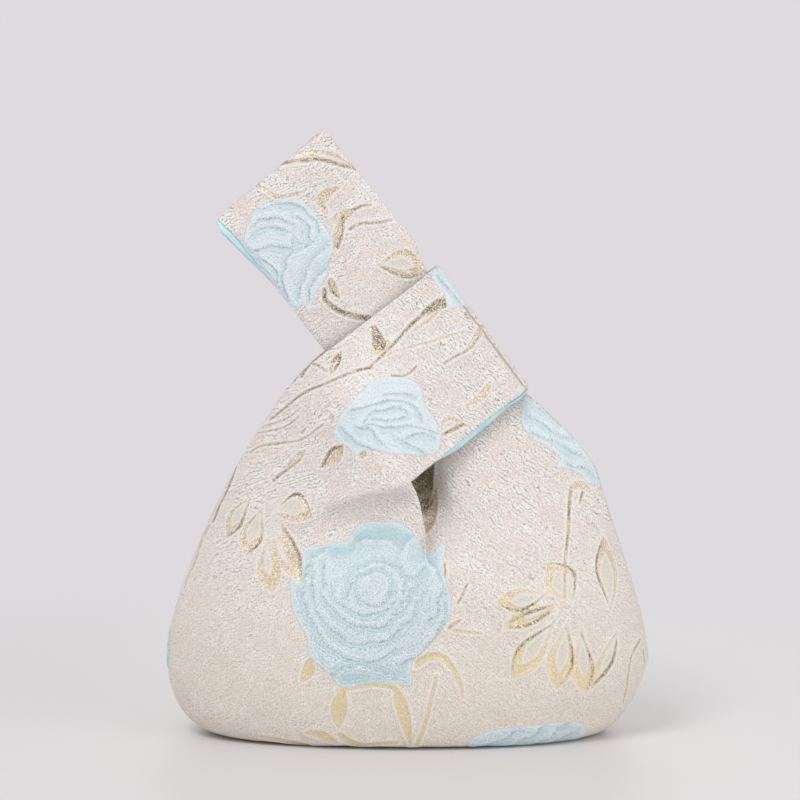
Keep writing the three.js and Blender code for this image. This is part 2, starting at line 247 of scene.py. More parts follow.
def body_point(side, height, depth):
    """side is -1 at the left seam, 0 in the middle and 1 at the right seam;
    height runs over the base from 0 to 1, the corner from 1 to 2 and the wall from 2 to 3."""
    base, share = np.clip(height, 0, 1), np.clip(height - 2, 0, 1)
    angle = np.clip(height - 1, 0, 1) * np.pi / 2
    slant, bulge = 1 - np.cos(angle), np.sin(angle)
    seam = mix(BASE_SEAM, BASE_WIDTH, base) / 2
    front = mix(SEAM_Y, -BASE_DEPTH / 2, base) - (BODY_DEPTH - BASE_DEPTH) / 2 * bulge
    low = FULL_HEIGHT * slant
    out = (BODY_WIDTH - BASE_WIDTH) / 2
    left = rows(-seam - out * mix(slant, bulge, LEFT_CORNER), SEAM_Y, low)
    right = rows(seam + out * mix(slant, bulge, RIGHT_CORNER), SEAM_Y, low)
    middle = rows(0, front, low)
    wall = (height > 2)[..., None]
    on_seam = (share < SEAM_SHARE)[..., None]
    seam_part = np.minimum(share / SEAM_SHARE, 1)
    hole_part = np.maximum(0, (share - SEAM_SHARE) / (1 - SEAM_SHARE))
    left = np.where(wall, left_edge(share), left)
    right = np.where(wall, np.where(on_seam, right_seam(seam_part), right_armhole(hole_part)), right)
    middle = np.where(wall, middle_line(share), middle)
    left[..., 1] = armhole_depth(share, SHORT_HALF, SHORT_GAPE)
    right[..., 1] = armhole_depth(share, LONG_ARM_HALF, LONG_GAPE)
    slack = ease(share, SLACK_FROM, 1)
    inward = np.clip(1 + side, 0, 1)
    crown = SHORT_CROWN * ease(share, CROWN_FROM, 1)
    p = across_cloth(left, middle, inward, mix(1, SHORT_ROUND, slack), crown)
    p[..., 1] += ridge_fall(share, 1 - inward)
    aside = np.clip(side, 0, 1) ** CROWDING
    q = across_cloth(right, middle, 1 - aside, mix(1, LONG_ROUND, slack), 0)
    tuck = CREASE_DEPTH * ease(share, CREASE_FOOT, 1) * pulse(aside, CREASE_SHARE)
    q[..., 1] += tuck + ridge_fall(share, 0) * np.exp(-aside / CREASE_SHARE)
    q = q + pocket(aside, depth * ease(share, POCKET_FOOT, 1))
    return np.where((side > 0)[..., None], q, p)


def short_point(share, along):
    """share runs from the armhole edge to the neckline; along 0-1 is the handle, 1-2 the fold at its end."""
    way, angle = np.clip(along, 0, 1), np.clip(along - 1, 0, 1) * np.pi / 2
    distance = mix(-NOTCH_BACK, short_fold, way) + SHORT_HALF * np.sin(angle)
    leaving = np.clip(1 - way / SHORT_START, 0, 1) ** 2
    settle = ease(way, *SHORT_SETTLE) - ease(0, *SHORT_SETTLE) * leaving
    arm_depth = -SHORT_HALF * np.cos(angle)
    neck_depth = -mix(NOTCH_DEPTH, SHORT_NECK_HALF, settle) * np.cos(angle)
    aside = np.full_like(distance, SHORT_WIDTH / 2)
    outer = short_edge(distance, aside, np.minimum(SEAM_Y, arm_depth))
    inner = short_edge(distance, -aside, np.minimum(SEAM_Y, neck_depth))
    return across_cloth(outer, inner, share, SHORT_ROUND * (1 - way), SHORT_CROWN * (1 - way))


def long_point(side, along, depth):
    """side runs from the neckline to the armhole edge; along 0-1 is the handle, 1-2 the fold at its top."""
    way, angle = np.clip(along, 0, 1), np.clip(along - 1, 0, 1) * np.pi / 2
    aside = side**CROWDING
    flatten = np.cos(angle)
    distance = mix(long_start, long_fold, way) + LONG_HALF * np.sin(angle)
    entering = way / LONG_ENTRY
    free = ease(distance, SHORT_WIDTH / 2 - WALL, SHORT_WIDTH / 2 - WALL + PINCH_EASE)
    flare = LONG_FLARE * (1 - ease(distance, long_entry, long_fold))
    arm_depth, neck_depth = -LONG_ARM_HALF * flatten, -LONG_NECK_HALF * flatten
    outer = long_edge(distance, LONG_WIDTH / 2 - LONG_PINCH * (1 - free), np.minimum(SEAM_Y, arm_depth))
    neck = long_edge(distance, -LONG_WIDTH / 2 - flare, np.minimum(SEAM_Y, neck_depth))
    inner = np.where((entering < 1)[..., None], long_neck(np.minimum(entering, 1)), neck)
    hollow = LONG_ROUND * (1 - ease(entering, 0, HOLLOW_END))
    p = across_cloth(outer, inner, 1 - aside, hollow, LONG_CROWN * ease(entering, 0, 1) * flatten)
    p[..., 1] += CREASE_DEPTH * (1 - ease(entering, 0, CREASE_END)) * pulse(aside, CREASE_SHARE)
    return p + pocket(aside, depth * (1 - ease(entering, 0, POCKET_END)))


# Steps of the cloth's grid at one to a millimetre, and the shares of them where its stretches meet.
ACROSS, BODY_STEPS, SHORT_STEPS, LONG_STEPS = 120, 200, 80, 176
BASE_END, CORNER_END, SHORT_FOLD_FROM, LONG_FOLD_FROM = 0.14, 0.36, 0.8, 0.94
CRISP_CREASE, CRISP_RIDGE = 0.45, 0.36  # where the crisp folds start up the wall and end to the left
RELAXING = ((-1, 5), (9, 25), (24, 110))  # how far from those folds the cloth relaxes, and how many times
LEFT_BODY, SHORT_HANDLE, LONG_HANDLE, RIGHT_BODY = range(4)


def off_points(verts, points):
    """How far each vertex is from the nearest of some points, in mm."""
    finder = kdtree.KDTree(len(points))
    for i, p in enumerate(points):
        finder.insert(p, i)
    finder.balance()
    return np.array([finder.find(v.co)[2] for v in verts]) / MM


def lay_cloth(fine, depth):
    """One panel's outer face: three grids of cloth joined along the row of the notch, then relaxed.
    fine is the number of steps to a millimetre, depth that of the fold at the notch."""
    bm = bmesh.new()
    part = bm.verts.layers.int.new("part")

    def grid(columns, steps, left, label, place):
        made = bmesh.ops.create_grid(bm, x_segments=columns, y_segments=steps, size=0.5)["verts"]
        at = np.array([v.co[:] for v in made])
        side, height = mix(left, 1, at[:, 0] + 0.5), at[:, 1] + 0.5
        for v, co, s in zip(made, place(side, height) * MM, side):
            v.co = co
            v[part] = RIGHT_BODY if label == LEFT_BODY and s > 1e-4 else label

    def body(side, height):
        return body_point(side, np.interp(height, (0, BASE_END, CORNER_END, 1), (0, 1, 2, 3)), depth)

    def short(share, along):
        return short_point(share, np.interp(along, (0, SHORT_FOLD_FROM, 1), (0, 1, 2)))

    def long(side, along):
        return long_point(side, np.interp(along, (0, LONG_FOLD_FROM, 1), (0, 1, 2)), depth)

    across = round(ACROSS * fine)
    grid(2 * across, round(BODY_STEPS * fine), -1, LEFT_BODY, body)
    grid(across, round(SHORT_STEPS * fine), 0, SHORT_HANDLE, short)
    grid(across, round(LONG_STEPS * fine), 0, LONG_HANDLE, long)
    bmesh.ops.remove_doubles(bm, verts=bm.verts[:], dist=0.002 * MM)
    bmesh.ops.recalc_face_normals(bm, faces=bm.faces[:])
    bm.normal_update()
    if sum(f.normal.y * f.calc_area() for f in bm.faces) > 0:
        bmesh.ops.reverse_faces(bm, faces=bm.faces[:])
    left = np.linspace(0, CRISP_RIDGE, 16)
    crease = middle_line(np.linspace(CRISP_CREASE, 1, 24))
    ridge = body_point(-left, 3 - RIDGE_SLOPE * left, depth)
    inner = [v for v in bm.verts if not v.is_boundary]
    off = off_points(inner, np.vstack((crease, ridge)) * MM)
    axes = {"use_axis_x": True, "use_axis_y": True, "use_axis_z": True}
    for past, times in RELAXING:
        slack = [v for v, d in zip(inner, off) if d > past]
        for _ in range(round(times * fine * fine)):
            bmesh.ops.smooth_vert(bm, verts=slack, factor=0.5, **axes)
    bm.normal_update()
    return bm


def turn_edge(bm, rim, steps, fullness=lambda place: 1):
    """Folds a raw edge under. A step is how far past the edge and how far below the face it goes, in mm;
    fullness is the share of the way past the edge that a place of the rim takes."""
    bm.normal_update()
    folds = {}
    for v in {v for e in rim for v in e.verts}:
        ends = [e.other_vert(v).co for e in v.link_edges if e.is_boundary]
        along = (ends[-1] - ends[0]) if len(ends) > 1 else ends[0] - v.co
        middle = sum((f.calc_center_median() for f in v.link_faces), Vector()) / len(v.link_faces)
        out = along.cross(v.normal).normalized()
        out *= -fullness(v.co / MM) if out.dot(middle - v.co) > 0 else fullness(v.co / MM)
        folds[v] = (v.co.copy(), out, v.normal.copy())
    edges = rim
    for past, below in steps:
        made = bmesh.ops.extrude_edge_only(bm, edges=edges)["geom"]
        new = {v for v in made if isinstance(v, bmesh.types.BMVert)}
        edges = [e for e in made if isinstance(e, bmesh.types.BMEdge) and all(v in new for v in e.verts)]
        moved = {}
        for v in new:
            source = next(e.other_vert(v) for e in v.link_edges if e.other_vert(v) in folds)
            start, out, face_up = folds[source]
            v.co = start + (out * past - face_up * below) * MM
            v.co.y = min(v.co.y, SEAM_Y * MM)
            moved[v] = folds[source]
        folds = moved


# The weave's drawing: roses, leaf sprays and stems in the manner of old silk brocades, drawn flat, in mm.
# A rose is its outline and the lines of its petals; its deep places are spots of a stronger aqua, partly
# painted shade where the rose lies under a fold or in a crease and partly a deeper aqua of the weave: x, z,
# width and height. A stem is its points, first and last width, and 1 for dark thread. A leaf is base, tip,
# width, bend to the right, place of the belly, share of pale heart, and the side of its dark thread.


def arc(x, z, wide, high, start, end):
    """Part of an ellipse, between two angles in degrees."""
    turn = np.radians(np.linspace(start, end, max(3, abs(end - start) // 15)))
    return list(zip(x + wide * np.cos(turn), z + high * np.sin(turn)))


FULL_ROSE = {
    "outline": [
        (-39.5, 25.5), (-31.5, 28), (-23, 31), (-17, 32), (-12.5, 39), (-6, 43.5), (5, 43.5), (14.5, 42),
        (23.5, 34), (29.5, 26), (33, 27.5), (37, 34), (39, 28), (37.5, 18.5), (41, 9), (43.5, -0.5),
        (41.5, -10.5), (35, -20.5), (27.5, -29), (22.5, -35), (23.5, -45), (19.5, -47), (16, -45.5),
        (1.5, -45.5), (-11, -48.5), (-18, -47), (-23, -41), (-33.5, -31.5), (-35, -21.5), (-42, -10.5),
        (-45, -0.5), (-45.5, 13), (-39.5, 6.5),
    ],
    "petals": [
        arc(1, 6.2, 9.3, 9.3, 0, 360), arc(2.7, 4.4, 14.8, 15.8, -50, 200),
        arc(-3.3, 5.5, 17, 13.6, 190, 330), arc(-2.7, 11, 25, 26.5, 165, 350),
        arc(-3.3, 13.7, 30.5, 38.5, 170, 340), arc(-3.8, 16.4, 36, 49.5, 195, 300),
        arc(15.3, 5.5, 25.5, 39, 275, 350), arc(0, 28.4, 12, 6.5, 20, 180), arc(22, 24, 7.6, 11, 100, 330),
        arc(26, 5.5, 12, 19, -60, 70), arc(-5.5, -54.6, 24.5, 17.5, 50, 130),
        arc(-28.4, 5.5, 8.7, 20.7, 90, 250),
    ],
    # Deep places: painted shade under the fold above the rose and in its creases, partly a deeper aqua of the
    # weave.
    "deep": [(1, 37, 24, 7), (-20, 27, 9, 5), (29, 27, 7, 9), (0, -44, 24, 5)],
}
SIDE_ROSE = {
    "outline": [
        (-14.5, 23), (-2, 26.5), (7.5, 25), (15, 17.5), (21.5, 8.5), (25, 0.5), (22.5, -8.5), (20.5, -18),
        (14.5, -26), (11.5, -37.5), (8, -32), (3, -36), (-5, -30.5), (-13, -21.5), (-21, -12), (-25, -3),
        (-24, 7.5), (-20, 17),
    ],
    "petals": [
        [(-18.7, 12.1), (-8.2, 16.6), (2.2, 12.8)], [(-21, 6), (-11.2, 10.6), (-0.7, 8.4)],
        [(-19.4, -1.3), (-9.7, 0.8), (0.7, -1.3), (1.5, 3.1)], [(5, 17), (11, 12), (12, 5)],
        [(-15.7, 20.3), (-5.2, 23.7), (6.7, 21.8), (14.2, 16.6), (17, 9)],
        [(15.7, 4.6), (6.7, -1.3), (-0.7, -8.8), (-3.7, -19.3), (-0.7, -28.2)],
        [(23, 1.6), (14.2, -7.3), (9.7, -16.3), (6, -28.2)], [(22.4, -8.8), (15.7, -17.8), (10.5, -30)],
        [(-15, -6), (-6.7, -13.3), (-6.7, -20.8)],
    ],
}
LOW_ROSE = {
    "outline": [
        (-30.5, -8), (-26, 2.5), (-18, 10), (-9, 19), (-1, 23), (11.5, 22.5), (19.5, 18.5), (22, 8),
        (28, -2.5), (30, -13.5), (26, -20.5), (13, -21), (0, -20.5), (-11.5, -17.5), (-19.5, -20),
        (-22.5, -14.5), (-27.5, -11.5),
    ],
    "petals": [
        [(-12.8, -2.5), (-7.4, 3), (0.4, 5.1), (7.4, 4.5), (12.1, 1.4)],
        [(-8, -2), (1.9, -1.5), (10, -0.5)], [(-24.5, -4), (-20.6, -9.5), (-14.4, -14.9), (-6.6, -20.4)],
        [(-15.9, -4.8), (-8.2, -8.7), (-3.5, -14.9)], [(4.3, -10.3), (12.1, -15.7), (21.4, -21.2)],
        [(-12.8, -4.8), (0.4, -5.6), (15.9, -5.6), (27.6, -7.9)], [(11.3, -11), (19.8, -9.5), (26.8, -11)],
        [(-0.4, 13.1), (5.8, 15), (15.9, 13.1)],
        [(-18.3, 6.1), (-8.9, 8.4), (2.7, 9.6), (13.6, 6.8), (21.4, -0.2)],
    ],
}
EDGE_ROSE = {
    "outline": [
        (-19, 26), (-12, 21.5), (-3.5, 12), (5.5, 3), (15.5, -7.5), (24.5, -21.5), (23, -24.5), (16, -24.5),
        (10, -18.5), (3, -15.5), (-4.5, -14.5), (-1, -10), (-7.5, -3.5), (-16, 1.5), (-21.5, 8.5),
        (-21.5, 17),
    ],
    "petals": [
        [(-19, 15.5), (-9.5, 9.5), (-1, 3.5), (7, 1)],
        [(-17.5, 5.5), (-7.5, 0.5), (2.5, -4.5), (13, -8.5)],
        [(-12, 19.5), (-2.5, 12), (7.5, 4.5)],
        [(2, -12.5), (11.5, -15), (19.5, -20)],
    ],
}
FOOT_ROSE = {
    "outline": [
        (-34, -6.5), (-30.5, 0), (-19, 4), (-5.5, 6), (11, 7), (22.5, 6), (31, 3), (35.5, -7.5), (30, -14),
        (20, -22), (0, -26), (-20, -20), (-30, -13),
    ],
    "petals": [
        [(-29, -9), (-18, -4), (-8, 4)], [(-18, -12), (-5, -4), (7, 6)], [(-4, -12), (8, -5), (20, 5)],
        [(11, -10), (20, -4), (29, 2)], arc(0, -17, 24, 6, 180, 360),
    ],
}
TURNED_ROSE = {
    "outline": [
        (-10, 12), (-1, 16), (4.5, 7.5), (13, -3), (10, -6), (0, -8.5), (-4, -5.5), (-3.5, 0), (-6, 4.5),
    ],
    "petals": [[(-5, 10), (0, 2.5), (5, -4)]],
}
HANDLE_SPRAY = {
    "leaves": [
        (6.5, 31, -27.5, 40.5, 6.2, 1.7, 0.45, 0.45, 0), (-11.5, 53.5, -22.5, 44.5, 2.8, 0, 0.5, 0, 0),
        (-15, 11.5, -2, 21, 5.6, -1.1, 0.35, 0, 0), (-14.5, 12, -9, 6, 3.4, 0, 0.5, 0, 0),
        (-7.5, 3, 5.5, 8.5, 6.2, 1.1, 0.5, 0.3, 0), (-5, -15, 0.5, 7, 5, -0.6, 0.4, 0, 1),
        (17.5, -23, 46, -26.5, 15.6, -3.1, 0.55, 0.45, 1), (-8, -29.5, -2.5, -41, 4.5, 1.1, 0.4, 0, 1),
    ],
    "stems": [
        ([(-35.5, 34.5), (-24, 35.5), (-13, 36), (-2, 33), (6.5, 31)], 2.2, 1.7, 1),
        ([(-48.5, 22.5), (-42.5, 18.5), (-36.5, 15.5), (-24.5, 17.5)], 1.7, 1.7, 0),
        ([(4.5, 8), (10, 10.5), (15, 11)], 1.7, 0.8, 1),
        ([(3, -2.5), (8.5, 0.5), (17.5, 1), (26, 2.5)], 1.4, 1.1, 1),
        ([(-11, -36), (-10.5, -42), (-3.5, -47.5), (4, -50.5), (13.5, -52)], 2.2, 3.4, 1),
    ],
}
LOOP_SPRAY = {
    "leaves": [
        (-33, -5, -39, -19.5, 5, 0, 0.5, 0, 1), (-33, -5, -39, -19.5, 5, 0, 0.5, 0, -1),
        (36.5, -4.5, 48, 14, 3.4, 1.1, 0.5, 0, 0), (35, -36.5, 51, -21, 3.9, 2.8, 0.6, 0, 0),
        (22, -54.5, 37, -47, 9, -4.5, 0.5, 0.5, 1),
    ],
    "stems": [
        ([(23.2, 20.7), (18.2, 18.5), (13.2, 14.6)], 6, 3.5, 1),
        ([(13.2, 14.6), (5.5, 8), (-4.5, -3.5), (-16, -15)], 2.2, 1.4, 1),
        ([(25.5, 28), (23.8, 23), (22.1, 18), (16.5, 11.8), (8.1, 5.6)], 1.2, 1.2, 0),
        ([(-14.8, 6.7), (-13, 2), (-11.8, -2.8)], 3.5, 8, 1),
        ([(-25.2, 2.2), (-21.6, -2.2), (-18.2, -5.6), (-12.6, -7.3), (-7.3, -1.7)], 1.2, 2.2, 0),
        ([(-17.5, 6.5), (-14.5, 8.2)], 1.7, 1.4, 0),
        ([(-16, -16.5), (-22.5, -17.5), (-30.5, -20)], 1.7, 1.7, 1),
        ([(-12, -11), (0, -6), (16.5, -1), (35.5, 5.5)], 0.8, 0.8, 0),
        ([(24, -13), (31, -8.5), (38.5, -4), (45, 5)], 1.1, 1.1, 1),
        ([(-5, -21), (1, -21), (5, -19), (9, -15)], 1.1, 1.1, 1),
    ],
}
SHOULDER_SPRAY = {
    "leaves": [
        (13.5, -14.5, 27.5, -0.5, 8.4, 0.6, 0.6, 0, -1), (36.5, -7, 41, -2.5, 4.5, 0, 0.5, 0, 0),
        (19.5, 10.5, 18.5, 16.5, 3.4, 0, 0.5, 0, 0), (-3, -11.5, 4, -5.5, 3.9, 0, 0.5, 0, 0),
    ],
    "stems": [
        ([(20.5, 39), (10.5, 32.5), (-2, 27), (-13, 19), (-25, 10.5)], 1.7, 1.1, 1),
        ([(-6.5, 36), (-4.5, 41), (-0.5, 44), (9, 40)], 1.7, 1.1, 1),
        ([(-35.5, -8.5), (-27.5, -4.5), (-13, -2), (1, 1), (14, 10)], 1.1, 0.8, 1),
        ([(-13.5, -23.5), (-7, -17.5), (1.5, -10.5)], 1.7, 1.1, 1),
        ([(-8, -15.5), (-3, -11.5), (0.5, -6.5)], 1.1, 1.1, 0),
        ([(-35.5, 2.5), (-15.5, 6), (-3, 13)], 0.7, 0.7, 1),
        ([(-30.5, 6), (-13, 11.5), (-3, 18)], 0.7, 0.7, 1),
        ([(-33, -14.5), (-27.5, -15), (-22.5, -13)], 0.8, 0.8, 0),
    ],
}
HANGING_SPRAY = {
    "leaves": [
        (-12, 9, -25, -15.5, 11.6, 2, 0.6, 0.62, -1), (-3.5, 3.5, -9.5, -24.5, 14.6, 1.7, 0.62, 0.62, -1),
        (1.5, -9, 8, -43.5, 12.2, 1.1, 0.68, 0.48, 0), (2, -5, 24, -36.5, 8.4, 1.6, 0.6, 0.55, 0),
        (8, -4, 24, -36.5, 7.3, -0.6, 0.55, 0.25, -1), (4, 0.5, 26.5, -0.5, 16, -4.7, 0.5, 0.6, -1),
    ],
    "stems": [
        ([(-31, 27), (-32.5, 15.5), (-36.5, 5.5), (-39, -5)], 2, 2.2, 1),
        ([(-42.5, -8), (-46, -16), (-47, -27)], 2.8, 3.4, 0),
        ([(-47.5, -30.5), (-52, -37.5), (-53, -44)], 2.2, 1.7, 0),
    ],
}
FOOT_LEAVES = {
    "leaves": [
        (-37, 23, -43.5, 8.5, 6.2, -1.1, 0.45, 0, 0), (-19.5, 6, -22.5, -17, 8.4, 1.1, 0.45, 0, 0),
        (9, 7.5, 17, -28, 6.2, -1.1, 0.35, 0, 0), (-42, -20.5, -23, -27, 5, -2.2, 0.5, 0, 0),
        (19.5, 18, 27.5, 24.5, 3.9, -1.1, 0.5, 0, 0),
    ],
    "stems": [
        ([(-23, 5.5), (-12.5, 7.5), (-2, 9), (9, 7.5)], 1.4, 1.7, 0),
        ([(26.5, 24.5), (34, 24.5), (39.5, 19), (44, 10), (46, 1)], 3.9, 1.1, 0),
        ([(31.5, 14), (28.5, 1.5), (25.5, -12), (20.5, -27)], 1.4, 1.7, 0),
        ([(-67, -26), (-54, -27.5), (-40.5, -29.5)], 1.7, 2.2, 0),
        ([(-21.5, -21), (-18, -24.5), (-12, -27.5)], 2.8, 3.4, 0),
        ([(-10.5, -27.5), (0, -26), (9.5, -25)], 1.7, 1.7, 0),
    ],
}
# In the deep fold beside the notch: a gold leaf, and over the fold's left side a wide dark thread that is
# painted shade of the fold.
FOLD_LEAF_AND_PAINTED_SHADE = {
    "leaves": [(-8, -36, 0, 12, 10, 1, 0.5, 0, -1)],
    "stems": [([(-18, -44), (-18, -8), (-18, 24)], 20, 33, 1)],
}
FAN_SPRAY = {
    "leaves": [
        (6.5, 3, -4.5, 27, 20, 1.4, 0.55, 0.64, 1), (-7, 10, -37, 6.5, 12.4, -1.4, 0.6, 0.62, -1),
        (-2, 3.5, -33.5, -5.5, 6.4, -1.1, 0.5, 0.35, 1), (-3, 0, -33.5, -8, 11, 2.2, 0.55, 0.52, -1),
        (-3.5, -5, -29.5, -36, 15.4, 0.6, 0.62, 0.56, 1), (4, -5.5, -3.5, -43.5, 16, 0.6, 0.62, 0.5, -1),
        (11.5, -8.5, 14.5, -48, 13.6, 0.6, 0.65, 0.56, -1), (35, -14, 18, -45, 9.2, -1.1, 0.5, 0.5, -1),
        (31.5, -2, 35.5, 40.5, 16.2, -0.6, 0.55, 0.62, -1),
    ],
    "stems": [
        ([(2.5, 7.5), (6, 28), (12, 46), (18.5, 68.5)], 1.1, 2, 1),
        ([(19.5, 69), (25, 71), (30.5, 67.5)], 3.4, 2.2, 0),
        ([(26.5, 67.5), (23, 60)], 1.7, 1.1, 1),
        ([(55, -20), (46, -28), (44, -38.5), (45, -57)], 1.4, 1.1, 1),
        ([(57.5, -26.5), (62, -38)], 1.4, 1.1, 1),
        ([(-58, 7.5), (-55.5, 11.5), (-52.5, 17.5)], 1.1, 1.1, 1),
        ([(-63.5, -6), (-61, -4), (-57.5, -2)], 1.7, 1.1, 1),
        ([(-60.5, -7.5), (-53, -9), (-46, -10)], 1.4, 1.1, 0),
        ([(-63, 30), (-64, 22)], 1.1, 1.1, 1),
    ],
}

PETAL_FADE = 4.6  # how far a petal's shade and its white lip reach from the line between them
RIM_LEAD = 1.2  # how much further off than a petal's line the rim of a rose counts
RIPPLE, RIPPLE_SIZE = 2.2, 8  # how far the petals' lines waver, and over what length
DEEP_SHADE = 1.6  # the strongest shade of a rose's deep places
HEART_SPREAD, HEART_TIP = 1.15, (0.5, 0.88)  # breadth of a leaf's pale heart, and where it narrows to its tip
THREAD_INSET, THREAD_HALF, THREAD_ENDS = 0.9, 0.8, (0.1, 0.92)  # the dark thread along a leaf's edge
STEM_INSET = 0.25  # how much narrower the dark thread of a stem is than its gold, on each side
DRAWING_REACH, LEVEL_PATCH = 85, 12  # how far from its middle a drawing is laid, and what sets its level
NO_YARN = 20.0  # stands for a place that no drawing reaches


def curve(points, closed=False):
    """A drawn line made smooth through its points."""
    p = np.array(points, float)
    if closed:
        p = np.vstack((p[-1:], p, p[:2]))
    else:
        p = np.vstack((2 * p[0] - p[1], p, 2 * p[-1] - p[-2]))
    a, b, c, d = p[:-3, None], p[1:-2, None], p[2:-1, None], p[3:, None]
    t = np.linspace(0, 1, 5)[None, :-1, None]
    bent = b + t / 2 * (c - a + t * (2 * a - 5 * b + 4 * c - d + t * (3 * (b - c) + d - a)))
    return np.vstack((bent.reshape(-1, 2), p[-2]))


def off_line(p, line):
    """How far each flat point is from a drawn line, how far along it the nearest place is,
    and 1 where the point is right of it, -1 where it is left."""
    best, share, right = np.full(len(p), 1e9), np.zeros(len(p)), np.ones(len(p))
    for k, (start, end) in enumerate(zip(line[:-1], line[1:])):
        run, away = end - start, p - start
        t = np.clip(away @ run / max(run @ run, 1e-9), 0, 1)
        off = np.linalg.norm(away - t[:, None] * run, axis=1)
        near = off < best
        share = np.where(near, (k + t) / (len(line) - 1), share)
        right = np.where(near, np.where(away @ np.array((run[1], -run[0])) > 0, 1, -1), right)
        best = np.minimum(best, off)
    return best, share, right


def within(p, line):
    """True for the flat points inside a closed line."""
    crossings = np.zeros(len(p), int)
    for (x0, z0), (x1, z1) in zip(line, np.roll(line, -1, axis=0)):
        spans = (z0 > p[:, 1]) != (z1 > p[:, 1])
        rise = z1 - z0 if z1 != z0 else 1e-9
        crossings += spans & (p[:, 0] < x0 + (p[:, 1] - z0) * (x1 - x0) / rise)
    return crossings % 2 == 1


def wander(places, size, seed):
    """Smooth noise on the cloth's places, about -1 to 1, with swells of the given size in mm."""
    return np.array([noise.noise(Vector(p) / size + Vector((seed, 0, 0))) for p in places.tolist()])


def lay_flat(cloth, parts, x, z, turn, size):
    """The named parts of a panel laid flat around a spot given by its x and z: which vertices are near,
    and where each lies in the drawing."""
    at = np.flatnonzero(np.isin(cloth["part"], parts))
    p, n = cloth["place"][at], cloth["normal"][at]
    turned_away = n[:, 1] > -0.1
    centre = p[(np.hypot(p[:, 0] - x, p[:, 2] - z) + 1e3 * turned_away).argmin()]
    away = p - centre
    far = np.linalg.norm(away, axis=1)
    face = unit(n[far < LEVEL_PATCH].mean(0))
    across = unit(np.cross(up, face))
    p = np.stack((away @ across, away @ np.cross(face, across)), 1)
    p *= (far / np.maximum(np.hypot(p[:, 0], p[:, 1]), 1e-6))[:, None]
    at, p = at[far < DRAWING_REACH * size], p[far < DRAWING_REACH * size]
    c, s = math.cos(math.radians(turn)), math.sin(math.radians(turn))
    return at, p @ np.array(((c, -s), (s, c))) / size


def weave(cloth, drawing, parts, x, z, turn=0, size=1):
    """Weaves a drawing into the named parts of a panel, around a spot given by its x and z."""
    at, p = lay_flat(cloth, parts, x, z, turn, size)
    if "outline" in drawing:
        line = curve(drawing["outline"], True)
        edge = off_line(p, line)[0]
        petal, shade = edge + RIM_LEAD, -np.clip(1 - edge / PETAL_FADE, 0, 1)
        place = cloth["place"][at]
        rippled = p + RIPPLE * np.stack([wander(place, RIPPLE_SIZE, seed) for seed in (5, 6)], 1)
        for points in drawing["petals"]:
            off, _, right = off_line(rippled, curve(points))
            shade = np.where(off < petal, right * np.clip(1 - off / PETAL_FADE, 0, 1), shade)
            petal = np.minimum(petal, off)
        # A rose's deep places deepen its aqua: partly painted shade, partly the weave's deeper aqua.
        for deep_x, deep_z, wide, high in drawing.get("deep", ()):
            spread = np.exp(-(((p[:, 0] - deep_x) / wide) ** 2) - ((p[:, 1] - deep_z) / high) ** 2)
            shade = np.minimum(shade + DEEP_SHADE * spread, DEEP_SHADE)
        edge = np.where(within(p, line), -edge, edge) * size
        for field, value in (("petal", petal * size), ("shade", shade), ("rose", edge)):
            cloth[field][at] = np.where(edge < cloth["rose"][at], value, cloth[field][at])

    def add(field, edge):
        cloth[field][at] = np.minimum(cloth[field][at], edge)

    for base_x, base_z, tip_x, tip_z, width, bend, belly, heart, dark in drawing.get("leaves", ()):
        axis = np.array((tip_x - base_x, tip_z - base_z))
        length = np.hypot(*axis)
        from_base = p - (base_x, base_z)
        way = from_base @ axis / length**2
        on = np.clip(way, 0, 1)
        aside = from_base @ np.array((axis[1], -axis[0])) / length - 4 * bend * on * (1 - on)
        half = width / 2 * np.sin(np.pi * on ** (math.log(0.5) / math.log(belly)))
        edge = np.hypot(np.maximum(np.abs(aside) - half, 0), length * np.abs(way - on))
        edge = np.where(edge > 0, edge, np.abs(aside) - half)
        pale = HEART_SPREAD * half * heart * (1 - ease(on, *HEART_TIP)) - np.abs(aside)
        add("gold", (np.maximum(edge, pale) if heart else edge) * size)
        add("leaf", edge * size)
        if dark:
            thread = np.abs(aside * dark - np.maximum(half - THREAD_INSET, 0)) - THREAD_HALF
            past_ends = np.maximum(THREAD_ENDS[0] - way, way - THREAD_ENDS[1])
            add("dark", np.maximum(thread, length * past_ends) * size)
    for points, first, last, dark in drawing.get("stems", ()):
        off, share, _ = off_line(p, curve(points))
        off = (off - mix(first, last, share) / 2) * size
        add("gold", off)
        if dark:
            add("dark", off + STEM_INSET)


def colour(text):
    """A colour written as in a paint box, for a shader."""
    part = [int(text[i : i + 2], 16) / 255 for i in (1, 3, 5)]
    return tuple(c / 12.92 if c <= 0.04045 else ((c + 0.055) / 1.055) ** 2.4 for c in part) + (1,)


def node(kind, *feeds, named=(), out=0, **settings):
    """Adds a node to the tree in hand; feeds are values or sockets for its open inputs, in order or named."""
    made = tree.nodes.new("ShaderNode" + kind)
    for key, value in settings.items():
        setattr(made, key, value)
    in_order = zip([socket for socket in made.inputs if socket.enabled], feeds)
    by_name = ((made.inputs[key], value) for key, value in dict(named).items())
    for socket, value in [*in_order, *by_name]:
        if isinstance(value, bpy.types.NodeSocket):
            tree.links.new(value, socket)
        else:
            socket.default_value = value
    given = [socket for socket in made.outputs if socket.enabled and out in (0, socket.name)]
    return given[0] if given else made
